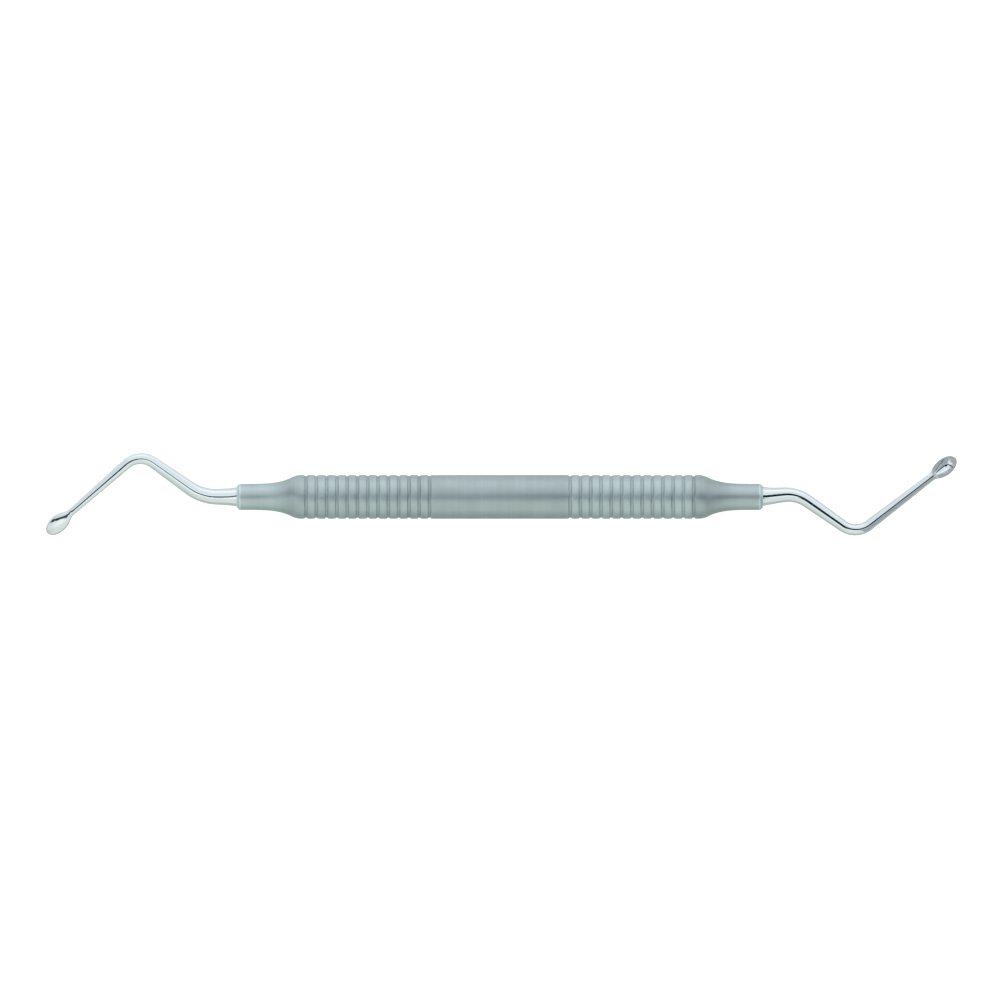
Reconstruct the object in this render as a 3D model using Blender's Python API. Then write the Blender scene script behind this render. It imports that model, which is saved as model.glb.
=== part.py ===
"""Bone curette: two mirrored spoons on bent shanks, set in a ring-grooved steel handle.

Metres, +Z up. X runs along the handle from the left spoon to the right one, the shanks
bend in the plane of X and Y, and the handle lies on the plane Z = 0.
"""
import math

import bmesh
import bpy
from mathutils import Matrix, Vector

MM = 0.001

# Handle: one bar, turned and grooved
HANDLE_LENGTH = 96.0 * MM
BARREL_DIAMETER = 8.0 * MM
NECK_DIAMETER = 4.8 * MM
MOUTH_CHAMFER = 0.45 * MM
SHOULDER_DISTANCE = 11.8 * MM       # from the mouth face to where the full diameter begins
SHOULDER_RADIUS = 3.9 * MM
SHOULDER_ANGLE = math.radians(27)   # slope where the flare meets the rounded shoulder

# Grip: a group of rounded grooves at each end of a smooth band
SMOOTH_BAND = 24.88 * MM
GROOVES_EACH_END = 13
GROOVE_PITCH = 1.878 * MM
GROOVE_WIDTH = 0.78 * MM
GROOVE_DEPTH = 0.2 * MM

# Sockets in the handle and the tangs set in them
TANG_DIAMETER = 3.0 * MM
TANG_LENGTH = 10.0 * MM
TANG_CLEARANCE = 0.1 * MM           # all round
SOCKET_END_CLEARANCE = 0.5 * MM
SEAT_GAP = 0.1 * MM                 # between the mouth face and the shank's root
ROOT_DIAMETER = 3.62 * MM
ROOT_TURN = 1.8 * MM                # the distance in which it turns to the first leg's direction
TAPER_EASE = 1.12                   # above 1 the shank's taper eases off towards the spoon

# Spoons
SPOON_LENGTH = 5.4 * MM
SPOON_WIDTH = 3.15 * MM
SPOON_TIP_REACH = 2.65 * MM         # from the tip back to the widest place
SPOON_BACK_DEPTH = 0.95 * MM        # below the shank's centre line
SPOON_UPPER_DEPTH = 0.5 * MM        # above it, before the face is ground
FACE_LEVEL = 0.15 * MM              # the ground face, above the shank's centre line
FACE_RAMP = 0.7 * MM                # length of the slope from the shank down to the face
SPOON_SET = math.radians(12)        # how far a spoon dips below the plane of its bends

# Bowls, ground into the faces
BOWL_LENGTH = 4.1 * MM
BOWL_DEPTH = 0.75 * MM
RIM_WIDTH = 0.33 * MM
TIP_RIM = 0.42 * MM
BOWL_CENTRE_LIFT = 0.2 * MM         # the grinding centre lies this far above the face

# Left working end, measured outwards from its mouth face and towards its knee's side
LEFT_ROOT = (0, 0)
LEFT_ELBOW = (6.41 * MM, 0.07 * MM)
LEFT_KNEE = (17.75 * MM, 8.06 * MM)
LEFT_TIP = (34.55 * MM, -6.6 * MM)
LEFT_ELBOW_RADIUS = 8.6 * MM
LEFT_KNEE_RADIUS = 4.0 * MM
LEFT_ROOT_THICKNESS = 3.13 * MM
LEFT_NECK_THICKNESS = 1.34 * MM
LEFT_ROOT_FILLET = 1.1 * MM         # the distance in which the root's flare dies away

# Right working end, measured the same way
RIGHT_ROOT = (0, -0.12 * MM)
RIGHT_ELBOW = (6.18 * MM, -0.68 * MM)
RIGHT_KNEE = (17.0 * MM, 6.88 * MM)
RIGHT_TIP = (35.17 * MM, -7.13 * MM)
RIGHT_ELBOW_RADIUS = 6.5 * MM
RIGHT_KNEE_RADIUS = 4.0 * MM
RIGHT_ROOT_THICKNESS = 2.8 * MM
RIGHT_NECK_THICKNESS = 1.5 * MM
RIGHT_ROOT_FILLET = 2.0 * MM

# Facets
HANDLE_SIDES = 20
SHANK_SIDES = 24
FLARE_STEPS = 8
FLARE_CROWDING = 0.55               # below 1 the steps crowd towards the shoulder
SHOULDER_STEPS = 5
GROOVE_STEPS = 6
ROOT_STEPS = (0, 0.06, 0.14, 0.26, 0.45, 0.7)       # shares of the way to the elbow's bend
BEND_STEP = math.radians(9)
TIP_STEPS = 7
HEEL_STEPS = 7
HEEL_CROWDING = 1.25                # above 1 the steps crowd towards the shank
BOWL_SEGMENTS = 28
BOWL_RINGS = 14
SHARP_EDGE = math.radians(35)       # edges that turn by more than this are shaded sharp

SATIN_STEEL = ((0.53, 0.57, 0.58, 1.0), 0.42)
POLISHED_STEEL = ((0.78, 0.80, 0.80, 1.0), 0.10)


def clear_scene():
    for leftover in list(bpy.data.objects):
        bpy.data.objects.remove(leftover, do_unlink=True)


def steel(name, finish):
    colour, roughness = finish
    material = bpy.data.materials.new(name)
    material.use_nodes = True
    shader = material.node_tree.nodes["Principled BSDF"]
    shader.inputs["Base Color"].default_value = colour
    shader.inputs["Roughness"].default_value = roughness
    shader.inputs["Metallic"].default_value = 1.0
    material.diffuse_color = colour
    return material


def make_object(name, shape, material):
    bmesh.ops.recalc_face_normals(shape, faces=shape.faces[:])
    mesh = bpy.data.meshes.new(name)
    shape.to_mesh(mesh)
    shape.free()
    mesh.materials.append(material)
    mesh.shade_smooth()
    mesh.set_sharp_from_angle(angle=SHARP_EDGE)
    thing = bpy.data.objects.new(name, mesh)
    bpy.context.collection.objects.link(thing)
    return thing


def join_rings(shape, rings):
    """Skin neighbouring rings of points with quads, and return the rings' vertices."""
    loops = [[shape.verts.new(point) for point in ring] for ring in rings]
    for before, after in zip(loops, loops[1:]):
        for i in range(len(before)):
            j = (i + 1) % len(before)
            shape.faces.new((before[i], before[j], after[j], after[i]))
    return loops


def close_with_point(shape, loop, point):
    pole = shape.verts.new(point)
    for i in range(len(loop)):
        shape.faces.new((loop[i], loop[(i + 1) % len(loop)], pole))


def flare_radius(distance):
    """Neck radius at a distance from the mouth: a rising curve that meets the shoulder's slope."""
    end_distance = SHOULDER_DISTANCE - SHOULDER_RADIUS * math.sin(SHOULDER_ANGLE)
    end_radius = BARREL_DIAMETER / 2 - SHOULDER_RADIUS * (1 - math.cos(SHOULDER_ANGLE))
    growth = end_radius - NECK_DIAMETER / 2
    power = math.tan(SHOULDER_ANGLE) * end_distance / growth
    return NECK_DIAMETER / 2 + growth * (distance / end_distance) ** power


def half_handle_outline():
    """Points (distance from the mouth face, radius) from the mouth to the smooth band."""
    neck_end = SHOULDER_DISTANCE - SHOULDER_RADIUS * math.sin(SHOULDER_ANGLE)
    barrel = BARREL_DIAMETER / 2
    points = [(0, flare_radius(MOUTH_CHAMFER) - MOUTH_CHAMFER)]
    for i in range(FLARE_STEPS):
        part = (i / FLARE_STEPS) ** FLARE_CROWDING
        distance = MOUTH_CHAMFER + (neck_end - MOUTH_CHAMFER) * part
        points.append((distance, flare_radius(distance)))
    for i in range(SHOULDER_STEPS + 1):
        angle = SHOULDER_ANGLE * (1 - i / SHOULDER_STEPS)
        points.append((SHOULDER_DISTANCE - SHOULDER_RADIUS * math.sin(angle),
                       barrel - SHOULDER_RADIUS * (1 - math.cos(angle))))
    floor_radius = ((GROOVE_WIDTH / 2) ** 2 + GROOVE_DEPTH ** 2) / (2 * GROOVE_DEPTH)
    half_sweep = math.asin(GROOVE_WIDTH / 2 / floor_radius)
    for k in reversed(range(GROOVES_EACH_END)):
        from_middle = SMOOTH_BAND / 2 + GROOVE_WIDTH / 2 + k * GROOVE_PITCH
        centre = HANDLE_LENGTH / 2 - from_middle
        for i in range(GROOVE_STEPS + 1):
            angle = half_sweep * (2 * i / GROOVE_STEPS - 1)
            points.append((centre + floor_radius * math.sin(angle),
                           barrel - GROOVE_DEPTH + floor_radius * (1 - math.cos(angle))))
    return points


def turned_ring(x, radius):
    """A ring round X whose flats, not corners, lie at the radius, with one flat facing down."""
    corner_radius = radius / math.cos(math.pi / HANDLE_SIDES)
    ring = []
    for i in range(HANDLE_SIDES):
        angle = 2 * math.pi * (i + 0.5) / HANDLE_SIDES
        ring.append((x, corner_radius * math.cos(angle),
                     BARREL_DIAMETER / 2 + corner_radius * math.sin(angle)))
    return ring


def build_handle(material):
    socket_radius = TANG_DIAMETER / 2 + TANG_CLEARANCE
    socket_floor = HANDLE_LENGTH / 2 - TANG_LENGTH - SOCKET_END_CLEARANCE
    mouth = HANDLE_LENGTH / 2
    half = half_handle_outline()
    outline = [(-socket_floor, socket_radius), (-mouth, socket_radius)]
    outline += [(distance - mouth, radius) for distance, radius in half]
    outline += [(mouth - distance, radius) for distance, radius in reversed(half)]
    outline += [(mouth, socket_radius), (socket_floor, socket_radius)]
    shape = bmesh.new()
    loops = join_rings(shape, [turned_ring(x, radius) for x, radius in outline])
    shape.faces.new(loops[0])
    shape.faces.new(loops[-1])
    return make_object("handle", shape, material)


def bent_route(points, radii):
    """Stations (place, direction) along straight legs joined by round bends, in one plane."""
    stations = [(points[0], (points[1] - points[0]).normalized())]
    for before, corner, after, radius in zip(points, points[1:], points[2:], radii):
        arriving = (corner - before).normalized()
        leaving = (after - corner).normalized()
        turn = arriving.angle_signed(leaving)
        setback = radius * math.tan(abs(turn) / 2)
        start = corner - arriving * setback
        side = 1 if turn < 0 else -1
        centre = start + Vector((-arriving.y, arriving.x)) * radius * side
        steps = max(2, round(abs(turn) / BEND_STEP))
        for i in range(steps + 1):
            swing = Matrix.Rotation(side * abs(turn) * i / steps, 2)
            stations.append((centre + swing @ (start - centre), swing @ arriving))
    return stations


def egg(distance_from_tip, widest, at_neck):
    """Half size of the spoon: a round tip, then a curve that meets the shank at a corner."""
    if distance_from_tip <= SPOON_TIP_REACH:
        part = 1 - distance_from_tip / SPOON_TIP_REACH
        return widest * math.sqrt(max(0.0, 1 - part ** 2))
    part = (distance_from_tip - SPOON_TIP_REACH) / (SPOON_LENGTH - SPOON_TIP_REACH)
    return at_neck + (widest - at_neck) * (1 - part ** 2)


def section_ring(place, across, up, half_width, above, below, ceiling):
    """One cross-section: a wide upper half cut flat at the ceiling, on a deeper lower half."""
    ring = []
    for i in range(SHANK_SIDES):
        angle = 2 * math.pi * i / SHANK_SIDES
        height = math.sin(angle) * (above if math.sin(angle) > 0 else below)
        ring.append(place + across * half_width * math.cos(angle) + up * min(height, ceiling))
    return ring


def spoon_rings(neck, along, across, up, neck_radius):
    """Sections from the heel to the tip, and the point that closes the tip."""
    distances = []
    for i in range(1, HEEL_STEPS + 1):
        part = (i / HEEL_STEPS) ** HEEL_CROWDING
        distances.append(SPOON_LENGTH - (SPOON_LENGTH - SPOON_TIP_REACH) * part)
    for i in range(1, TIP_STEPS):
        distances.append(SPOON_TIP_REACH * (1 - math.sin(math.pi / 2 * i / TIP_STEPS)))
    rings = []
    for distance in distances:
        ramp = min(1.0, (SPOON_LENGTH - distance) / FACE_RAMP)
        rings.append(section_ring(
            neck + along * (SPOON_LENGTH - distance), across, up,
            egg(distance, SPOON_WIDTH / 2, neck_radius),
            egg(distance, SPOON_UPPER_DEPTH, neck_radius),
            egg(distance, SPOON_BACK_DEPTH, neck_radius),
            neck_radius + (FACE_LEVEL - neck_radius) * ramp))
    return rings, neck + along * SPOON_LENGTH


def add_bowl_cutter(name, tip, along, across, up, material):
    """A squashed ball that grinds the bowl out of the face."""
    lift = FACE_LEVEL + BOWL_CENTRE_LIFT
    ball_depth = BOWL_DEPTH + BOWL_CENTRE_LIFT
    swell = 1 / math.sqrt(1 - (BOWL_CENTRE_LIFT / ball_depth) ** 2)
    half_length = BOWL_LENGTH / 2 * swell
    half_width = (SPOON_WIDTH / 2 - RIM_WIDTH) * swell
    centre = tip - along * (TIP_RIM + BOWL_LENGTH / 2) + up * lift
    frame = Matrix((along * half_length, across * half_width, up * ball_depth)).transposed()
    shape = bmesh.new()
    bmesh.ops.create_uvsphere(shape, u_segments=BOWL_SEGMENTS, v_segments=BOWL_RINGS, radius=1,
                              matrix=Matrix.Translation(centre) @ frame.to_4x4())
    cutter = make_object(name, shape, material)
    cutter.hide_render = True
    cutter.display_type = "WIRE"
    return cutter


def build_working_end(name, outwards, corners, radii, thicknesses, fillet, face_up, material):
    """Tang, root, bent tapering shank and spoon in one piece.

    outwards is -1 for the left end and 1 for the right; the knee lies on the side that
    the handle's end turns to when the instrument is swung half a turn about Z.
    """
    def on_instrument(point):
        return Vector((outwards * (HANDLE_LENGTH / 2 + point[0]), -outwards * point[1]))

    root_radius, neck_radius = (thickness / 2 for thickness in thicknesses)
    root, elbow, knee, tip = (on_instrument(corner) for corner in corners)
    last_leg = (tip - knee).normalized()
    neck = tip - last_leg * SPOON_LENGTH * math.cos(SPOON_SET)
    stations = bent_route([root, elbow, knee, neck], radii)
    stations.append((neck, last_leg))
    lengths = [0.0]
    for (before, _), (after, _) in zip(stations, stations[1:]):
        lengths.append(lengths[-1] + (after - before).length)

    axis_height = BARREL_DIAMETER / 2
    up = Vector((0, 0, 1 if face_up else -1))

    def round_ring(place, direction, radius):
        centre = Vector((place.x, place.y, axis_height))
        across = Vector((-direction.y, direction.x, 0))
        return section_ring(centre, across, up, radius, radius, radius, radius)

    def shank_radius(length):
        eased = 1 - max(0.0, 1 - length / lengths[-1]) ** TAPER_EASE
        flare = (ROOT_DIAMETER / 2 - root_radius) * math.exp(-length / fillet)
        return root_radius + (neck_radius - root_radius) * eased + flare

    first_leg = stations[0][1]
    handle_line = Vector((outwards, 0))
    mouth = on_instrument((0, 0))
    rings = [round_ring(mouth + handle_line * distance, handle_line, TANG_DIAMETER / 2)
             for distance in (-TANG_LENGTH, SEAT_GAP)]
    seat = root + handle_line * SEAT_GAP
    for share in ROOT_STEPS:
        run = share * (lengths[1] - SEAT_GAP)
        direction = handle_line.lerp(first_leg, min(1.0, run / ROOT_TURN)).normalized()
        rings.append(round_ring(seat + first_leg * run, direction, shank_radius(SEAT_GAP + run)))
    for (place, direction), length in list(zip(stations, lengths))[1:]:
        rings.append(round_ring(place, direction, shank_radius(length)))

    along = Vector((last_leg.x * math.cos(SPOON_SET), last_leg.y * math.cos(SPOON_SET),
                    -math.sin(SPOON_SET)))
    across = Vector((-last_leg.y, last_leg.x, 0))
    spoon_up = along.cross(across) if face_up else across.cross(along)
    heel = Vector((neck.x, neck.y, axis_height))
    more_rings, pole = spoon_rings(heel, along, across, spoon_up, neck_radius)
    shape = bmesh.new()
    loops = join_rings(shape, rings + more_rings)
    shape.faces.new(loops[0])
    close_with_point(shape, loops[-1], pole)
    working_end = make_object(name, shape, material)

    cutter = add_bowl_cutter(name + "_bowl_cutter", pole, along, across, spoon_up, material)
    grind = working_end.modifiers.new("ground bowl", "BOOLEAN")
    grind.operation = "DIFFERENCE"
    grind.solver = "EXACT"
    grind.object = cutter
    return working_end


clear_scene()
satin = steel("satin steel", SATIN_STEEL)
polished = steel("polished steel", POLISHED_STEEL)
build_handle(satin)
build_working_end("left_working_end", -1, (LEFT_ROOT, LEFT_ELBOW, LEFT_KNEE, LEFT_TIP),
                  (LEFT_ELBOW_RADIUS, LEFT_KNEE_RADIUS),
                  (LEFT_ROOT_THICKNESS, LEFT_NECK_THICKNESS), LEFT_ROOT_FILLET, False, polished)
build_working_end("right_working_end", 1, (RIGHT_ROOT, RIGHT_ELBOW, RIGHT_KNEE, RIGHT_TIP),
                  (RIGHT_ELBOW_RADIUS, RIGHT_KNEE_RADIUS),
                  (RIGHT_ROOT_THICKNESS, RIGHT_NECK_THICKNESS), RIGHT_ROOT_FILLET, True, polished)
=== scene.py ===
import math

import bmesh
import bpy
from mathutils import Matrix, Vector


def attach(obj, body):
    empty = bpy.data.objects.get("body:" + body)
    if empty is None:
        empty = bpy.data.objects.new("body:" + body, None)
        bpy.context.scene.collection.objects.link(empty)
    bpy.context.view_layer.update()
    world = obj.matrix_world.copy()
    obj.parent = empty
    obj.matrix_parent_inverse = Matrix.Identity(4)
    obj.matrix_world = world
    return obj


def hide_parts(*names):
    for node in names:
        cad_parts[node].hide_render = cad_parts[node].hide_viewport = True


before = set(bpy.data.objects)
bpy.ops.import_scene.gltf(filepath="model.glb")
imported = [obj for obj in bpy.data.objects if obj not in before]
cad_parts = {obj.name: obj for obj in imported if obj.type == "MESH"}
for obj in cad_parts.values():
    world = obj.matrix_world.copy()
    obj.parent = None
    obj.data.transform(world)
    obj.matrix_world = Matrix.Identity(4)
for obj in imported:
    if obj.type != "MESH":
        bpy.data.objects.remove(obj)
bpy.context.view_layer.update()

MM = 0.001
AXIS_HEIGHT = 4.0 * MM              # the handle's axis, above what the instrument lies on


# The handle: one bar of stainless steel, turned on a lathe with a flared neck at each end and
# ring grooves for the fingers, bored at both ends for the tangs, and blasted with glass beads,
# which leaves it an even, soft grey.
HANDLE_HALF = 48.0 * MM
BARREL_RADIUS = 4.0 * MM
NECK_RADIUS = 2.4 * MM
MOUTH_CHAMFER = 0.45 * MM
MOUTH_EDGE = 0.05 * MM              # rounding that the blasting leaves on the turned edges
SOCKET_RADIUS = 1.6 * MM
SOCKET_DEPTH = 10.5 * MM
SHOULDER_DISTANCE = 11.8 * MM
SHOULDER_RADIUS = 3.9 * MM
SHOULDER_ANGLE = math.radians(27)
GROOVE_COUNT = 13
GROOVE_PITCH = 1.878 * MM
GROOVE_WIDTH = 0.78 * MM
GROOVE_DEPTH = 0.2 * MM
GROOVE_WALL = math.radians(50)
LIP_RADIUS = 0.12 * MM
FLOOR_RADIUS = 0.1 * MM
FIRST_GROOVE = 12.83 * MM           # from the middle of the handle
FLARE_STEPS = 28
SHOULDER_STEPS = 12
GROOVE_ARC_STEPS = 3
LATHE_STEPS = 144


def profile_arc(centre, radius, first, last, steps):
    """Points on an arc of a turned profile, its angles measured from straight out of the bar."""
    points = []
    for i in range(steps + 1):
        angle = first + (last - first) * i / steps
        points.append((centre[0] + radius * math.sin(angle), centre[1] + radius * math.cos(angle)))
    return points


def half_profile():
    """Distances from the mouth and radii, from the socket's floor out to the smooth band."""
    points = [(SOCKET_DEPTH, 0), (SOCKET_DEPTH, SOCKET_RADIUS), (0, SOCKET_RADIUS),
              (0, NECK_RADIUS - MOUTH_CHAMFER)]
    flare_end = SHOULDER_DISTANCE - SHOULDER_RADIUS * math.sin(SHOULDER_ANGLE)
    flare_growth = BARREL_RADIUS - SHOULDER_RADIUS * (1 - math.cos(SHOULDER_ANGLE)) - NECK_RADIUS
    power = math.tan(SHOULDER_ANGLE) * flare_end / flare_growth
    for i in range(FLARE_STEPS):
        distance = MOUTH_CHAMFER + (flare_end - MOUTH_CHAMFER) * i / FLARE_STEPS
        points.append((distance, NECK_RADIUS + flare_growth * (distance / flare_end) ** power))
    shoulder_centre = (SHOULDER_DISTANCE, BARREL_RADIUS - SHOULDER_RADIUS)
    points += profile_arc(shoulder_centre, SHOULDER_RADIUS, -SHOULDER_ANGLE, 0, SHOULDER_STEPS)
    lip_run = LIP_RADIUS * math.sin(GROOVE_WALL)
    floor_run = FLOOR_RADIUS * math.sin(GROOVE_WALL)
    wall_drop = GROOVE_DEPTH - (LIP_RADIUS + FLOOR_RADIUS) * (1 - math.cos(GROOVE_WALL))
    wall_run = wall_drop / math.tan(GROOVE_WALL)
    floor_half = GROOVE_WIDTH / 2 - lip_run - wall_run - floor_run
    for k in reversed(range(GROOVE_COUNT)):
        middle = HANDLE_HALF - FIRST_GROOVE - k * GROOVE_PITCH
        lip = (middle - GROOVE_WIDTH / 2, BARREL_RADIUS - LIP_RADIUS)
        floor = (middle - floor_half, BARREL_RADIUS - GROOVE_DEPTH + FLOOR_RADIUS)
        near_side = profile_arc(lip, LIP_RADIUS, 0, GROOVE_WALL, GROOVE_ARC_STEPS)
        near_side += profile_arc(floor, FLOOR_RADIUS, math.pi + GROOVE_WALL, math.pi,
                                 GROOVE_ARC_STEPS)
        points += near_side
        points += [(2 * middle - distance, radius) for distance, radius in reversed(near_side)]
    return points


def turn_on_lathe(name, profile):
    """Draws a profile of (x, radius) from point to point and spins it round the axis."""
    bpy.ops.object.select_all(action="DESELECT")
    bpy.ops.mesh.primitive_plane_add(size=MM, location=(0, 0, 0))
    turned = bpy.context.object
    turned.name = turned.data.name = name
    bpy.ops.object.mode_set(mode="EDIT")
    bpy.ops.mesh.merge(type="CENTER")
    place = (0, 0)
    for step, point in enumerate(profile):
        move = (point[0] - place[0], 0, point[1] - place[1] + (0 if step else AXIS_HEIGHT))
        if step:
            bpy.ops.mesh.extrude_region_move(TRANSFORM_OT_translate={"value": move})
        else:
            bpy.ops.transform.translate(value=move)
        place = point
    bpy.ops.mesh.select_all(action="SELECT")
    bpy.ops.mesh.spin(steps=LATHE_STEPS, angle=2 * math.pi, center=(0, 0, AXIS_HEIGHT),
                      axis=(1, 0, 0))
    bpy.ops.mesh.select_all(action="SELECT")
    bpy.ops.mesh.remove_doubles(threshold=0.001 * MM)
    bpy.ops.mesh.normals_make_consistent(inside=False)
    bpy.ops.object.mode_set(mode="OBJECT")
    return turned


def round_edges(piece, width, segments, angle):
    """Rounds a piece's sharp edges; the faces between them stay flat to the eye."""
    rounding = piece.modifiers.new("rounded edges", "BEVEL")
    rounding.width = width
    rounding.segments = segments
    rounding.limit_method = "ANGLE"
    rounding.angle_limit = angle
    rounding.harden_normals = True
    bpy.ops.object.modifier_apply(modifier=rounding.name)


def linear(hex_colour):
    """An sRGB colour as the linear values that shaders take."""
    channels = [int(hex_colour[i:i + 2], 16) / 255 for i in (1, 3, 5)]
    return [c / 12.92 if c <= 0.04045 else ((c + 0.055) / 1.055) ** 2.4 for c in channels] + [1]


def add_node(tree, kind, settings=(), **inputs):
    """Adds a node; settings are its own properties, inputs take values or other sockets."""
    node = tree.nodes.new(kind)
    for setting, value in dict(settings).items():
        setattr(node, setting, value)
    for name, value in inputs.items():
        socket = node.inputs[int(name[1:]) if name[0] == "_" else name.replace("_", " ")]
        if isinstance(value, bpy.types.NodeSocket):
            tree.links.new(value, socket)
        else:
            socket.default_value = value
    return node


def add_ramp(tree, share, stops):
    """Adds a colour ramp with stops of (position, colour)."""
    ramp = add_node(tree, "ShaderNodeValToRGB", Fac=share)
    while len(ramp.color_ramp.elements) < len(stops):
        ramp.color_ramp.elements.new(0.5)
    for element, (position, colour) in zip(ramp.color_ramp.elements, stops):
        element.position = position
        element.color = colour
    return ramp


def new_metal(name):
    """Starts a bare metal: its material, node tree, shader and the place on the piece."""
    metal = bpy.data.materials.new(name)
    metal.use_nodes = True
    tree = metal.node_tree
    shader = tree.nodes["Principled BSDF"]
    shader.inputs["Metallic"].default_value = 1.0
    place = add_node(tree, "ShaderNodeTexCoord").outputs["Object"]
    return metal, tree, shader, place


# Glass beads leave dimples about 0.05 mm across; they are drawn 0.2 mm across so that they
# show. Under them are the lathe's lines, and a cloudiness from the uneven blasting. Light and
# shade are painted into the colour along the handle: the necks and the ribs are painted lighter
# than the cones, the mouths' turned edges get a painted highlight, and the grooves painted shade.
SATIN_LIGHT = "#DAE8E8"
SATIN_DARK = "#A5B0B0"
# painted light and shade: the tone by place along the handle, lighter on the necks and ribs
SATIN_PAINTED_LIGHT_TONES = ((-48.0, 0.95), (-47.6, 0.8), (-47.2, 0.48), (-42.0, 0.42), (-38.5, 0.2),
               (-35.5, 0.25), (-34.0, 0.37), (-13.0, 0.3), (-12.0, 0.22), (12.0, 0.22),
               (13.0, 0.4), (34.0, 0.44), (36.0, 0.18), (40.0, 0.1), (43.0, 0.3),
               (47.2, 0.36), (47.6, 0.6), (48.0, 0.7))     # place in mm, share of the light tone
SATIN_ROUGHNESS = (0.43, 0.50)
CLOUD_SIZE = 4 * MM
LATHE_LINE = 0.35 * MM
LINE_SHAPE = (1.0, 0.02, 0.02)      # the lines run round the bar
LATHE_LINE_SHARE = 0.45             # how strongly the lines show beside the cloudiness
PATTERN_RANGE = (0.5, 0.95)         # what the two patterns together come to
UNEVENNESS = 0.1                    # what both add to the tone, or take from it
DIMPLE_SIZE = 0.2 * MM
DIMPLE_DEPTH = 0.004 * MM
# painted shade: the colour is darkened down in the grooves
PAINTED_GROOVE_SHADE = 0.21
PAINTED_SHADE_DEPTHS = (0.02 * MM, 0.1 * MM)        # in the grooves, where it begins and is full
# painted highlight: a bright band of colour on each mouth's turned edge
PAINTED_EDGE_HIGHLIGHT = 0.34
HIGHLIGHT_INNER = (0.76 * MM, 0.68 * MM)        # from the mouth's face, where it begins and is full
HIGHLIGHT_OUTER = (0.40 * MM, 0.46 * MM)        # the same at its outer side

satin, tree, shader, place = new_metal("bead_blasted_stainless_steel")
cloud = add_node(tree, "ShaderNodeTexNoise", Vector=place, Scale=1 / CLOUD_SIZE, Detail=3.0)
along = add_node(tree, "ShaderNodeMapping", Vector=place, Scale=LINE_SHAPE)
lathe_lines = add_node(tree, "ShaderNodeTexNoise", Vector=along.outputs[0],
                       Scale=1 / LATHE_LINE, Detail=2.0)
dimples = add_node(tree, "ShaderNodeTexNoise", Vector=place, Scale=1 / DIMPLE_SIZE, Detail=2.0)
blend_in = add_node(tree, "ShaderNodeMath", {"operation": "MULTIPLY_ADD"},
                    _0=lathe_lines.outputs[0], _1=LATHE_LINE_SHARE, _2=cloud.outputs[0])
unevenness = add_node(tree, "ShaderNodeMapRange", Value=blend_in.outputs[0],
                      _1=PATTERN_RANGE[0], _2=PATTERN_RANGE[1], _3=-UNEVENNESS, _4=UNEVENNESS)
split = add_node(tree, "ShaderNodeSeparateXYZ", Vector=place)
share = add_node(tree, "ShaderNodeMapRange", Value=split.outputs["X"],
                 _1=-HANDLE_HALF, _2=HANDLE_HALF)
# the painted light and shade along the handle, by place
painted_light_tones = add_ramp(tree, share.outputs[0], [((x * MM + HANDLE_HALF) / (2 * HANDLE_HALF),
                                           (tone, tone, tone, 1)) for x, tone in SATIN_PAINTED_LIGHT_TONES])
level = add_node(tree, "ShaderNodeMath", _0=painted_light_tones.outputs[0], _1=unevenness.outputs[0])
from_axis = add_node(tree, "ShaderNodeVectorMath", {"operation": "MULTIPLY_ADD"},
                     _0=place, _1=(0, 1, 1), _2=(0, 0, -AXIS_HEIGHT))
radius = add_node(tree, "ShaderNodeVectorMath", {"operation": "LENGTH"}, _0=from_axis.outputs[0])
sunk = add_node(tree, "ShaderNodeMapRange", Value=radius.outputs["Value"],
                _1=BARREL_RADIUS - PAINTED_SHADE_DEPTHS[0], _2=BARREL_RADIUS - PAINTED_SHADE_DEPTHS[1])
half_way = add_node(tree, "ShaderNodeMath", {"operation": "ABSOLUTE"}, _0=split.outputs["X"])
ribbed = add_node(tree, "ShaderNodeMath", {"operation": "LESS_THAN"}, _0=half_way.outputs[0],
                  _1=HANDLE_HALF - SHOULDER_DISTANCE)
# painted shade, where the grooves sink below the ribs' tops
painted_groove_shade_mask = add_node(tree, "ShaderNodeMath", {"operation": "MULTIPLY"}, _0=sunk.outputs[0],
                     _1=ribbed.outputs[0])
with_painted_groove_shade = add_node(tree, "ShaderNodeMath", {"operation": "MULTIPLY_ADD"}, _0=painted_groove_shade_mask.outputs[0],
                  _1=-PAINTED_GROOVE_SHADE, _2=level.outputs[0])
near_mouth = add_node(tree, "ShaderNodeMapRange", Value=half_way.outputs[0],
                      _1=HANDLE_HALF - HIGHLIGHT_INNER[0], _2=HANDLE_HALF - HIGHLIGHT_INNER[1])
off_chamfer = add_node(tree, "ShaderNodeMapRange", Value=half_way.outputs[0],
                       _1=HANDLE_HALF - HIGHLIGHT_OUTER[0], _2=HANDLE_HALF - HIGHLIGHT_OUTER[1])
# painted highlight on the mouths' turned edges
edge_highlight_mask = add_node(tree, "ShaderNodeMath", {"operation": "MULTIPLY"},
                       _0=near_mouth.outputs[0], _1=off_chamfer.outputs[0])
with_painted_highlight = add_node(tree, "ShaderNodeMath", {"operation": "MULTIPLY_ADD"},
                   _0=edge_highlight_mask.outputs[0], _1=PAINTED_EDGE_HIGHLIGHT, _2=with_painted_groove_shade.outputs[0])
colour = add_node(tree, "ShaderNodeMix", {"data_type": "RGBA"}, _0=with_painted_highlight.outputs[0],
                  _6=linear(SATIN_DARK), _7=linear(SATIN_LIGHT))
tree.links.new(colour.outputs[2], shader.inputs["Base Color"])
gloss = add_node(tree, "ShaderNodeMapRange", Value=cloud.outputs[0],
                 _3=SATIN_ROUGHNESS[0], _4=SATIN_ROUGHNESS[1])
tree.links.new(gloss.outputs[0], shader.inputs["Roughness"])
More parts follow.
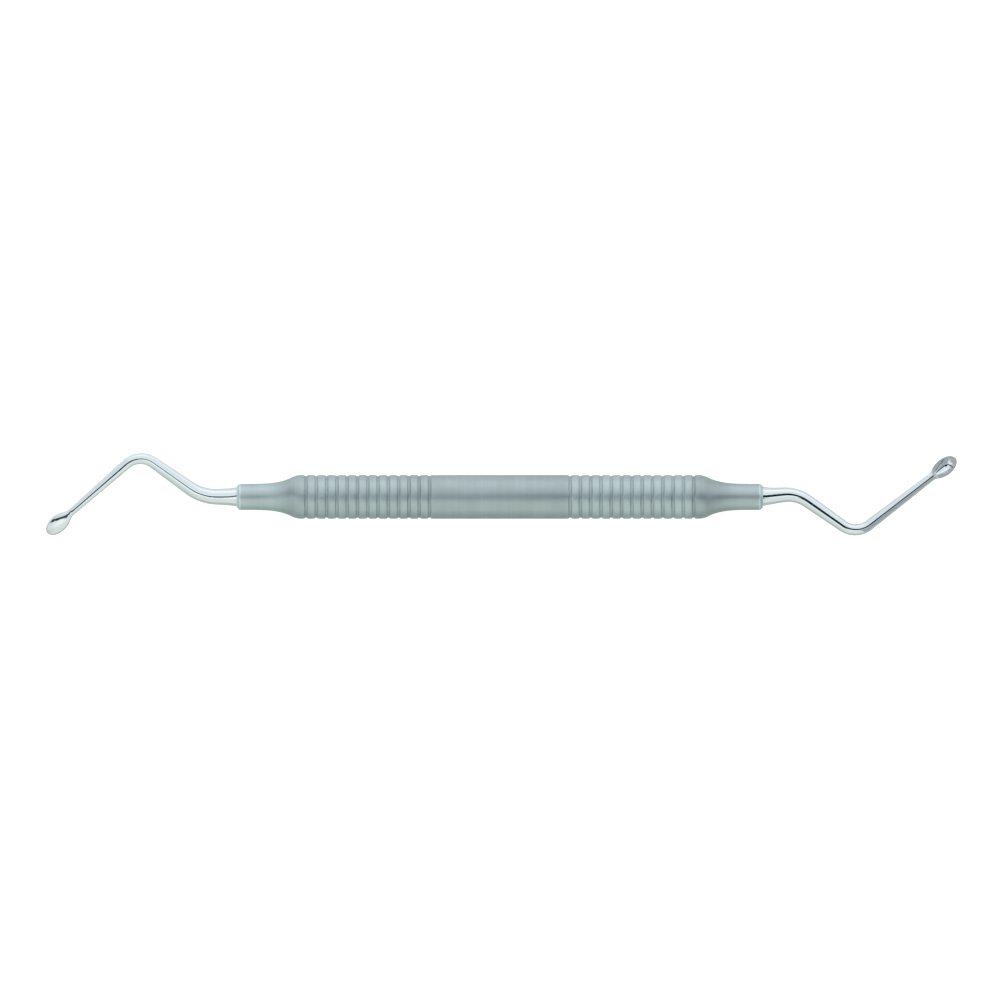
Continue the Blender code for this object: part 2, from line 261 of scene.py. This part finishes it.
relief = add_node(tree, "ShaderNodeBump", Height=dimples.outputs[0], Strength=0.25,
                  Distance=DIMPLE_DEPTH)
tree.links.new(relief.outputs[0], shader.inputs["Normal"])

half = half_profile()
whole = [(distance - HANDLE_HALF, radius) for distance, radius in half]
whole += [(HANDLE_HALF - distance, radius) for distance, radius in reversed(half)]
handle = turn_on_lathe("handle_bar", whole)
bpy.ops.object.shade_smooth()
round_edges(handle, MOUTH_EDGE, 3, math.radians(30))
handle.data.materials.append(satin)
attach(handle, "root")
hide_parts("handle")


# The left working end: hardened stainless steel in one piece. A round blank is drawn out to a
# taper and a small egg, the egg's face is ground flat and its bowl ground in with a ball, and
# the shank is bent at the knee and the elbow. It is polished to a mirror. Its back faces up.
TANG_RADIUS = 1.5 * MM
TANG_LENGTH = 10.0 * MM
SEAT_GAP = 0.02 * MM
ROOT_RADIUS = 1.81 * MM
ROOT_TURN_START = 0.1 * MM
ROOT_TURN = 1.8 * MM
TAPER_EASE = 1.12                   # above 1 the taper eases off towards the spoon
SPOON_LENGTH = 5.4 * MM
SPOON_HALF_WIDTH = 1.575 * MM
SPOON_DEPTH = 0.95 * MM
SPOON_TIP_REACH = 2.65 * MM
NECK_BLEND = 0.12 * MM
FACE_LEVEL = 0.15 * MM
FACE_RAMP = 0.7 * MM
SPOON_DIP = math.radians(12)
DIP_RUN = 1.0 * MM                  # the length of shank over which the spoon is bent down
DIP_STEPS = 5
BALL_RADIUS = 1.37 * MM
BALL_DEPTH = 0.78 * MM
BALL_PLACE = 2.42 * MM              # from the tip
BALL_REACH = 1.28                   # how far the ball is worked on towards the tip, in radii
HEEL_BALL = 0.5 * MM                # the smaller ball that finishes the bowl's heel
HEEL_BALL_DEPTH = 0.56 * MM
HEEL_BALL_PLACE = 4.4 * MM          # from the tip
BLANK_SIDES = 96
ROOT_STEP = 0.1 * MM                # between the blank's sections at the root
ROOT_RUN = 1.6 * MM                 # beyond it they stand farther apart
COARSE_STEP = 0.4 * MM
BEFORE_DIP = 0.6 * MM               # the last section before the spoon's dip
HEEL_STEPS = 26
TIP_STEPS = 28
BEND_STEP = math.radians(3)
WHEEL_SIZE = 8.0 * MM               # of the block that stands for the wheel's flat side
SMOOTH_ANGLE = math.radians(25)
LEFT_ROUTE = ((0, 0), (6.41 * MM, 0.07 * MM), (17.75 * MM, 8.06 * MM), (34.55 * MM, -6.6 * MM))
LEFT_RADII = (8.6 * MM, 4.0 * MM)
LEFT_THICKNESS = (3.13 * MM, 1.34 * MM)
LEFT_ROOT_FILLET = 1.1 * MM


def lay_out_bends(route, radii):
    """Where each bend starts along the straight blank, its length and its turn, and the neck."""
    elbow, knee, tip = (Vector(corner) - Vector(route[0]) for corner in route[1:])
    neck = tip - (tip - knee).normalized() * SPOON_LENGTH * math.cos(SPOON_DIP)
    headings = [math.atan2(leg.y, leg.x) for leg in (elbow, knee - elbow, neck - knee)]
    elbow_turn = headings[1] - headings[0]
    knee_turn = headings[2] - headings[1]
    elbow_setback = radii[0] * math.tan(abs(elbow_turn) / 2)
    knee_setback = radii[1] * math.tan(abs(knee_turn) / 2)
    elbow_start = elbow.length - elbow_setback
    elbow_length = radii[0] * abs(elbow_turn)
    knee_start = elbow_start + elbow_length + (knee - elbow).length - elbow_setback - knee_setback
    knee_length = radii[1] * abs(knee_turn)
    neck_place = knee_start + knee_length + (neck - knee).length - knee_setback
    bends = [(ROOT_TURN_START, ROOT_TURN, headings[0]), (elbow_start, elbow_length, elbow_turn),
             (knee_start, knee_length, knee_turn)]
    return bends, neck_place


def bend_steps(turn):
    """Into how many small turns a bend is divided."""
    return max(1, round(abs(turn) / BEND_STEP))


def egg(distance_from_tip, widest, at_neck):
    """Half size of the spoon: a round tip, then a curve that runs out into the shank."""
    if distance_from_tip <= SPOON_TIP_REACH:
        part = 1 - distance_from_tip / SPOON_TIP_REACH
        return widest * math.sqrt(max(0.0, 1 - part ** 2))
    part = (distance_from_tip - SPOON_TIP_REACH) / (SPOON_LENGTH - SPOON_TIP_REACH)
    growth = (widest - at_neck) * (1 - part ** 2)
    return at_neck + (growth + math.hypot(growth, NECK_BLEND)) / 2


def blank_sections(bends, neck_place, thickness, fillet):
    """Sections (x, half width, half depth) of the straight blank, from the tang to the tip."""
    root_radius, neck_radius = thickness[0] / 2, thickness[1] / 2

    def shank_radius(x):
        eased = 1 - max(0.0, 1 - x / neck_place) ** TAPER_EASE
        flare = (ROOT_RADIUS - root_radius) * math.exp(-x / fillet)
        return root_radius + (neck_radius - root_radius) * eased + flare

    places = [SEAT_GAP + ROOT_STEP * i for i in range(1, 16)]
    places += [SEAT_GAP + ROOT_RUN + COARSE_STEP * i for i in range(4)]
    for start, length, turn in bends[1:]:
        steps = bend_steps(turn)
        places += [start + length * i / steps for i in range(steps + 1)]
    places.append(neck_place - DIP_RUN - BEFORE_DIP)
    sections = [(-TANG_LENGTH, TANG_RADIUS, TANG_RADIUS), (SEAT_GAP, TANG_RADIUS, TANG_RADIUS),
                (SEAT_GAP, shank_radius(0), shank_radius(0))]
    sections += [(x, shank_radius(x), shank_radius(x)) for x in places]
    for i in range(DIP_STEPS + 1):
        distance = SPOON_LENGTH + DIP_RUN * (1 - i / DIP_STEPS)
        swell = egg(distance, SPOON_HALF_WIDTH, neck_radius) - neck_radius
        radius = shank_radius(neck_place + SPOON_LENGTH - distance) + swell
        sections.append((neck_place + SPOON_LENGTH - distance, radius, radius))
    distances = [SPOON_LENGTH - (SPOON_LENGTH - SPOON_TIP_REACH) * i / HEEL_STEPS
                 for i in range(1, HEEL_STEPS + 1)]
    distances += [SPOON_TIP_REACH * (1 - math.sin(math.pi / 2 * i / TIP_STEPS))
                  for i in range(1, TIP_STEPS)]
    for distance in distances:
        sections.append((neck_place + SPOON_LENGTH - distance,
                         egg(distance, SPOON_HALF_WIDTH, neck_radius),
                         egg(distance, SPOON_DEPTH, neck_radius)))
    return sections


def draw_out_blank(name, sections, tip_place):
    """A straight bar along X, extruded from section to section and closed at the tip."""
    bpy.ops.object.select_all(action="DESELECT")
    bpy.ops.mesh.primitive_circle_add(vertices=BLANK_SIDES, radius=sections[0][1],
                                      fill_type="NGON", location=(sections[0][0], 0, 0),
                                      rotation=(0, math.pi / 2, 0))
    bar = bpy.context.object
    bar.name = bar.data.name = name
    bpy.ops.object.transform_apply(location=True, rotation=True, scale=True)
    bpy.ops.object.mode_set(mode="EDIT")
    for before, after in zip(sections, sections[1:]):
        move = (after[0] - before[0], 0, 0)
        bpy.ops.mesh.extrude_region_move(TRANSFORM_OT_translate={"value": move})
        bpy.ops.transform.resize(value=(1, after[1] / before[1], after[2] / before[2]),
                                 center_override=(after[0], 0, 0))
    move = (tip_place - sections[-1][0], 0, 0)
    bpy.ops.mesh.extrude_region_move(TRANSFORM_OT_translate={"value": move})
    bpy.ops.mesh.merge(type="CENTER")
    bpy.ops.mesh.select_all(action="SELECT")
    bpy.ops.mesh.normals_make_consistent(inside=False)
    bpy.ops.object.mode_set(mode="OBJECT")
    return bar


def grind_away(bar, grinder):
    """Takes the grinder's shape out of the bar and puts the grinder away."""
    cut = bar.modifiers.new("ground", "BOOLEAN")
    cut.operation = "DIFFERENCE"
    cut.solver = "EXACT"
    cut.object = grinder
    bpy.context.view_layer.objects.active = bar
    bpy.ops.object.modifier_apply(modifier=cut.name)
    bpy.data.objects.remove(grinder, do_unlink=True)


def grind_face(bar, neck_place, neck_radius):
    """Grinds the egg's upper side flat, with a ramp down from the shank at its heel."""
    ramp_end = neck_place + FACE_RAMP
    bpy.ops.object.select_all(action="DESELECT")
    bpy.ops.mesh.primitive_cube_add(size=WHEEL_SIZE, location=(ramp_end + WHEEL_SIZE / 2, 0,
                                                               FACE_LEVEL + WHEEL_SIZE / 2))
    wheel = bpy.context.object
    bpy.ops.object.transform_apply(location=True, rotation=True, scale=True)
    bpy.ops.object.mode_set(mode="EDIT")
    bpy.ops.mesh.select_all(action="DESELECT")
    mesh = bmesh.from_edit_mesh(wheel.data)
    for vertex in mesh.verts:
        vertex.select_set(vertex.co.x < ramp_end + MM and vertex.co.z > FACE_LEVEL + MM)
    mesh.select_flush_mode()
    slope = FACE_RAMP / (neck_radius - FACE_LEVEL)
    bpy.ops.transform.translate(value=(-WHEEL_SIZE * slope, 0, 0))
    bpy.ops.object.mode_set(mode="OBJECT")
    grind_away(bar, wheel)


def grind_bowl(bar, tip_place):
    """Grinds the bowl: a ball near the tip, running back into a smaller one at the heel."""
    bpy.ops.object.select_all(action="DESELECT")
    bpy.ops.mesh.primitive_uv_sphere_add(segments=128, ring_count=64, radius=BALL_RADIUS,
                                         rotation=(0, math.pi / 2, 0))
    ball = bpy.context.object
    bpy.ops.object.transform_apply(location=True, rotation=True, scale=True)
    bpy.ops.object.mode_set(mode="EDIT")
    mesh = bmesh.from_edit_mesh(ball.data)
    for side in (-1, 1):
        bpy.ops.mesh.select_all(action="DESELECT")
        for vertex in mesh.verts:
            vertex.select_set(vertex.co.x * side > 0.001 * MM)
        mesh.select_flush_mode()
        if side < 0:
            shrink = HEEL_BALL / BALL_RADIUS
            bpy.ops.transform.resize(value=(shrink, shrink, shrink), center_override=(0, 0, 0))
            drop = (BALL_RADIUS - BALL_DEPTH) - (HEEL_BALL - HEEL_BALL_DEPTH)
            bpy.ops.transform.translate(value=(BALL_PLACE - HEEL_BALL_PLACE, 0, -drop))
        else:
            bpy.ops.transform.resize(value=(BALL_REACH, 1, 1), center_override=(0, 0, 0))
    bpy.ops.object.mode_set(mode="OBJECT")
    ball.location = (tip_place - BALL_PLACE, 0, FACE_LEVEL + BALL_RADIUS - BALL_DEPTH)
    bpy.ops.object.transform_apply(location=True, rotation=True, scale=True)
    grind_away(bar, ball)


def turn_beyond(bar, x, angle, axis):
    """Turns all of the bar beyond x about a point on its axis."""
    mesh = bmesh.from_edit_mesh(bar.data)
    for vertex in mesh.verts:
        vertex.select_set(vertex.co.x > x)
    mesh.select_flush_mode()
    bpy.ops.transform.rotate(value=-angle, orient_axis=axis, center_override=(x, 0, 0))


def make_working_end(name, route, radii, thickness, fillet, dip):
    """Draws out, grinds and bends one working end, lying along +X from the handle's mouth."""
    bends, neck_place = lay_out_bends(route, radii)
    tip_place = neck_place + SPOON_LENGTH
    bar = draw_out_blank(name, blank_sections(bends, neck_place, thickness, fillet), tip_place)
    grind_face(bar, neck_place, thickness[1] / 2)
    grind_bowl(bar, tip_place)
    bpy.ops.object.select_all(action="DESELECT")
    bar.select_set(True)
    bpy.ops.object.mode_set(mode="EDIT")
    for i in range(DIP_STEPS):
        turn_beyond(bar, neck_place - (i + 0.5) * DIP_RUN / DIP_STEPS, dip / DIP_STEPS, "Y")
    for start, length, turn in reversed(bends):
        steps = bend_steps(turn)
        for i in reversed(range(steps)):
            turn_beyond(bar, start + (i + 0.5) * length / steps, turn / steps, "Z")
    mesh = bmesh.from_edit_mesh(bar.data)
    for vertex in mesh.verts:
        in_socket = vertex.co.x < SEAT_GAP + 0.01 * MM
        vertex.select_set(in_socket and vertex.co.yz.length < TANG_RADIUS + 0.01 * MM)
    mesh.select_flush_mode()
    bpy.ops.transform.translate(value=(0, -route[0][1], 0))
    bpy.ops.object.mode_set(mode="OBJECT")
    return bar


def set_in_handle(bar, mouth, route, half_turn):
    """Puts a working end's tang in its socket, turned over for the left one."""
    bar.rotation_euler = (0, half_turn, 0)
    bar.location = (mouth, route[0][1], AXIS_HEIGHT)
    bpy.ops.object.transform_apply(location=True, rotation=True, scale=True)
    bpy.ops.object.shade_smooth_by_angle(angle=SMOOTH_ANGLE)


# Hand polishing on a felt wheel leaves a mirror with the faintest waves, a few millimetres
# long, and hairlines that dull it a little.
POLISHED_LIGHT = "#E6EAEA"
POLISHED_DARK = "#DFE4E5"
POLISHED_ROUGHNESS = (0.06, 0.12)
HAZE_SIZE = 3 * MM
WAVE_SIZE = 2.5 * MM
WAVE_HEIGHT = 0.01 * MM

polished, tree, shader, place = new_metal("mirror_polished_stainless_steel")
haze = add_node(tree, "ShaderNodeTexNoise", Vector=place, Scale=1 / HAZE_SIZE, Detail=2.0)
colour = add_node(tree, "ShaderNodeMix", {"data_type": "RGBA"}, _0=haze.outputs[0],
                  _6=linear(POLISHED_DARK), _7=linear(POLISHED_LIGHT))
tree.links.new(colour.outputs[2], shader.inputs["Base Color"])
gloss = add_node(tree, "ShaderNodeMapRange", Value=haze.outputs[0],
                 _3=POLISHED_ROUGHNESS[0], _4=POLISHED_ROUGHNESS[1])
tree.links.new(gloss.outputs[0], shader.inputs["Roughness"])
waves = add_node(tree, "ShaderNodeTexNoise", Vector=place, Scale=1 / WAVE_SIZE, Detail=1.0)
relief = add_node(tree, "ShaderNodeBump", Height=waves.outputs[0], Strength=0.5,
                  Distance=WAVE_HEIGHT)
tree.links.new(relief.outputs[0], shader.inputs["Normal"])

# The spoon's face and the ramp at its heel are left as the fine wheel grinds them, a little
# duller than the rest, and they meet it at a sharp edge. The wheel's marks, finer in the real
# steel, are drawn 0.3 mm across.
GROUND_STEEL = "#D2D1D0"
GROUND_ROUGHNESS = (0.24, 0.36)
GRINDING_MARK = 0.3 * MM
SPOON_FROM = 78.5 * MM              # both spoons lie farther than this from the handle's middle
FLAT_SPREAD = math.radians(3)       # how far a facet of the flat face may look another way
RAMP_FROM = 0.15 * MM * MM          # no strip of the polished skin there is as large as the ramp

ground, tree, shader, place = new_metal("ground_stainless_steel")
shader.inputs["Base Color"].default_value = linear(GROUND_STEEL)
marks = add_node(tree, "ShaderNodeTexNoise", Vector=place, Scale=1 / GRINDING_MARK, Detail=2.0)
gloss = add_node(tree, "ShaderNodeMapRange", Value=marks.outputs[0],
                 _3=GROUND_ROUGHNESS[0], _4=GROUND_ROUGHNESS[1])
tree.links.new(gloss.outputs[0], shader.inputs["Roughness"])


def face_direction(bar):
    """The way the ground face looks: the normal of the bar's largest flat face at the spoon."""
    at_spoon = [face for face in bar.data.polygons if abs(face.center.x) > SPOON_FROM]
    return max(at_spoon, key=lambda face: face.area).normal.copy()


def finish_face(bar, facing):
    """Polishes all of a working end but its ground face and ramp, and keeps their edge sharp."""
    bar.data.materials.append(polished)
    bar.data.materials.append(ground)
    for polygon in bar.data.polygons:
        at_spoon = abs(polygon.center.x) > SPOON_FROM
        flat = polygon.normal.angle(facing) < FLAT_SPREAD or polygon.area > RAMP_FROM
        polygon.material_index = int(at_spoon and flat)
    mesh = bmesh.new()
    mesh.from_mesh(bar.data)
    for edge in mesh.edges:
        if len({face.material_index for face in edge.link_faces}) > 1:
            edge.smooth = False
    mesh.to_mesh(bar.data)
    mesh.free()


left_end = make_working_end("left_curette_end", LEFT_ROUTE, LEFT_RADII, LEFT_THICKNESS,
                            LEFT_ROOT_FILLET, -SPOON_DIP)
set_in_handle(left_end, -HANDLE_HALF, LEFT_ROUTE, math.pi)
finish_face(left_end, face_direction(left_end))
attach(left_end, "root")
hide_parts("left_working_end")


# The right working end: made like the left one, as its mirror image, so its bowl faces up.
# Its shank is slimmer at the root, sits a little off the handle's middle and leaves it at a
# slight angle.
RIGHT_ROUTE = ((0, 0.12 * MM), (6.18 * MM, 0.68 * MM), (17.0 * MM, -6.88 * MM),
               (35.17 * MM, 7.13 * MM))
RIGHT_RADII = (6.5 * MM, 4.0 * MM)
RIGHT_THICKNESS = (2.8 * MM, 1.5 * MM)
RIGHT_ROOT_FILLET = 2.0 * MM

right_end = make_working_end("right_curette_end", RIGHT_ROUTE, RIGHT_RADII, RIGHT_THICKNESS,
                             RIGHT_ROOT_FILLET, SPOON_DIP)
set_in_handle(right_end, HANDLE_HALF, RIGHT_ROUTE, 0)
finish_face(right_end, face_direction(right_end))
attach(right_end, "root")
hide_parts("right_working_end")


# The table: a sheet of white paper under the instrument. It prints as bare white and still
# takes the instrument's soft shadow. Its near half is painted darker and greener, painted shade
# for the tent's open side, which the metal mirrors, so the paper glows less there than it does to
# the camera.
TABLE_SIZE = 4.0
TABLE_DROP = 0.01 * MM              # below what the instrument lies on
FAR_PAPER = "#EEF0F0"
NEAR_PAPER_PAINTED_SHADE = "#A9B6AC"
PAINTED_SHADE_EDGE = 12 * MM                # the shade fades out this far on each side of the middle
TABLE_GLOW = 0.8
GLOW_IN_METAL = 0.25

bpy.ops.object.select_all(action="DESELECT")
bpy.ops.mesh.primitive_plane_add(size=TABLE_SIZE, location=(0, 0, -TABLE_DROP))
table = bpy.context.object
table.name = "table"
paper = bpy.data.materials.new("white_paper")
paper.use_nodes = True
tree = paper.node_tree
tree.nodes.clear()
place = add_node(tree, "ShaderNodeTexCoord").outputs["Object"]
y_place = add_node(tree, "ShaderNodeSeparateXYZ", Vector=place)
out_of_painted_shade = add_node(tree, "ShaderNodeMapRange", Value=y_place.outputs["Y"],
                    _1=-PAINTED_SHADE_EDGE, _2=PAINTED_SHADE_EDGE)
# painted shade: the paper's colour darkens towards the near side
paper_with_painted_shade = add_node(tree, "ShaderNodeMix", {"data_type": "RGBA"}, _0=out_of_painted_shade.outputs[0],
                        _6=linear(NEAR_PAPER_PAINTED_SHADE), _7=linear(FAR_PAPER))
sheet = add_node(tree, "ShaderNodeBsdfDiffuse", Color=paper_with_painted_shade.outputs[2])
rays = add_node(tree, "ShaderNodeLightPath")
seen = add_node(tree, "ShaderNodeMath", {"operation": "MAXIMUM"},
                _0=rays.outputs["Is Camera Ray"], _1=rays.outputs["Is Transmission Ray"])
glow_seen = add_node(tree, "ShaderNodeMath", {"operation": "MULTIPLY"},
                     _0=seen.outputs[0], _1=TABLE_GLOW)
strength = add_node(tree, "ShaderNodeMath", {"operation": "MULTIPLY_ADD"},
                    _0=rays.outputs["Is Glossy Ray"], _1=GLOW_IN_METAL, _2=glow_seen.outputs[0])
glow = add_node(tree, "ShaderNodeEmission", Strength=strength.outputs[0])
both = add_node(tree, "ShaderNodeAddShader", _0=sheet.outputs[0], _1=glow.outputs[0])
add_node(tree, "ShaderNodeOutputMaterial", Surface=both.outputs[0])
table.data.materials.append(paper)


# The camera's slot: the dark opening overhead in the tent of white cloth, through which the
# camera looks. It draws the dark line along the metal. It is a strip of black board, laid out
# by stations: a place along the handle, and the strip's middle and width there, in metres.
SLOT_HEIGHT = 0.6
SLOT_STATIONS = ((-3.0, 1.3, 0.75), (-0.3, 0.10, 0.15), (-0.16, 0.005, 0.16),
                 (-0.07, -0.07, 0.2), (0.01, -0.08, 0.29), (0.05, 0.04, 0.25),
                 (0.11, 0.05, 0.33), (0.3, -0.02, 0.31), (0.9, -0.14, 0.8))
SLOT_BLACK = "#16181A"


def new_board(name, hex_colour):
    """The material of a matt card."""
    board = bpy.data.materials.new(name)
    board.use_nodes = True
    shader = board.node_tree.nodes["Principled BSDF"]
    shader.inputs["Base Color"].default_value = linear(hex_colour)
    shader.inputs["Roughness"].default_value = 1.0
    return board


bpy.ops.object.select_all(action="DESELECT")
bpy.ops.mesh.primitive_plane_add(size=1, location=(0, 0, 0))
slot_card = bpy.context.object
slot_card.name = "camera_slot"
bpy.ops.object.mode_set(mode="EDIT")
mesh = bmesh.from_edit_mesh(slot_card.data)
for side, (x, middle, width) in zip((-1, 1), SLOT_STATIONS):
    bpy.ops.mesh.select_all(action="DESELECT")
    for vertex in mesh.verts:
        vertex.select_set(vertex.co.x * side > 0)
    mesh.select_flush_mode()
    bpy.ops.transform.resize(value=(1, width, 1), center_override=(0, 0, 0))
    bpy.ops.transform.translate(value=(x - side * 0.5, middle, 0))
for before, after in zip(SLOT_STATIONS[1:], SLOT_STATIONS[2:]):
    move = (after[0] - before[0], after[1] - before[1], 0)
    bpy.ops.mesh.extrude_region_move(TRANSFORM_OT_translate={"value": move})
    bpy.ops.transform.resize(value=(1, after[2] / before[2], 1),
                             center_override=(after[0], after[1], 0))
bpy.ops.object.mode_set(mode="OBJECT")
slot_card.location = (0, 0, SLOT_HEIGHT)
bpy.ops.object.transform_apply(location=True, rotation=True, scale=True)
slot_card.data.materials.append(new_board("black_card", SLOT_BLACK))


# The flag: a small grey card beside the right spoon, which gives the bowl and the last leg of
# that shank their darker side. It stands in front of the paper, so the camera doesn't see it.
FLAG_SIZE = (0.066, 0.080)
FLAG_PLACE = (0.1037, -0.0197, 0.0450)
FLAG_LOOKS_AT = (-0.0208, 0.1368, 0.0040)
FLAG_GREY = "#D6D6DC"

bpy.ops.object.select_all(action="DESELECT")
flag_normal = Vector(FLAG_LOOKS_AT) - Vector(FLAG_PLACE)
bpy.ops.mesh.primitive_plane_add(size=1, location=FLAG_PLACE,
                                 rotation=flag_normal.to_track_quat("Z", "Y").to_euler())
flag = bpy.context.object
flag.name = "grey_flag"
flag.scale = (FLAG_SIZE[0], FLAG_SIZE[1], 1)
flag.visible_camera = False
bpy.ops.object.transform_apply(location=True, rotation=True, scale=True)
flag.data.materials.append(new_board("grey_card", FLAG_GREY))


# The light: the tent itself, white cloth lit from all round, its far side a little blue, its
# near side a little green and its left end a little dimmer. Past the table's edge the camera
# sees plain white.
TENT_LEVEL = 1.25
TENT_LEFT = 0.8                     # the left end's share of that level
LEFT_END = (-0.8, -0.3)             # the directions between which it rises to the full level
TENT_COLOURS = ((-1.0, "#D6DCD6"), (-0.6, "#D7DFDE"), (-0.2, "#F1F9F9"), (0.2, "#E1EBF2"),
                (0.6, "#D8DFE8"), (1.0, "#F9FBFE"))     # by direction, near side to far side

world = bpy.data.worlds.new("tent")
world.use_nodes = True
tree = world.node_tree
tree.nodes.clear()
direction = add_node(tree, "ShaderNodeTexCoord").outputs["Generated"]
split = add_node(tree, "ShaderNodeSeparateXYZ", Vector=direction)
across = add_node(tree, "ShaderNodeMapRange", Value=split.outputs["Y"], _1=-1.0, _2=1.0)
cloth = add_ramp(tree, across.outputs[0], [((side + 1) / 2, linear(hex_colour))
                                           for side, hex_colour in TENT_COLOURS])
level = add_node(tree, "ShaderNodeMapRange", Value=split.outputs["X"],
                 _1=LEFT_END[0], _2=LEFT_END[1], _3=TENT_LEVEL * TENT_LEFT, _4=TENT_LEVEL)
tent = add_node(tree, "ShaderNodeBackground", Color=cloth.outputs[0], Strength=level.outputs[0])
backdrop = add_node(tree, "ShaderNodeBackground", Color=(1, 1, 1, 1), Strength=1.0)
rays = add_node(tree, "ShaderNodeLightPath")
mixed = add_node(tree, "ShaderNodeMixShader", _0=rays.outputs["Is Camera Ray"],
                 _1=tent.outputs[0], _2=backdrop.outputs[0])
add_node(tree, "ShaderNodeOutputWorld", Surface=mixed.outputs[0])
bpy.context.scene.world = world
bpy.context.scene.view_settings.view_transform = "Standard"


# The camera: straight above the instrument and as if from far away, without perspective.
CAMERA_HEIGHT = 450.0 * MM
VIEW_WIDTH = 182.44 * MM
VIEW_CENTRE = (0.03 * MM, -0.57 * MM)

lens = bpy.data.cameras.new("camera")
lens.type = "ORTHO"
lens.ortho_scale = VIEW_WIDTH
camera = bpy.data.objects.new("camera", lens)
camera.location = (VIEW_CENTRE[0], VIEW_CENTRE[1], CAMERA_HEIGHT)
bpy.context.scene.collection.objects.link(camera)
bpy.context.scene.camera = camera

bpy.context.view_layer.update()
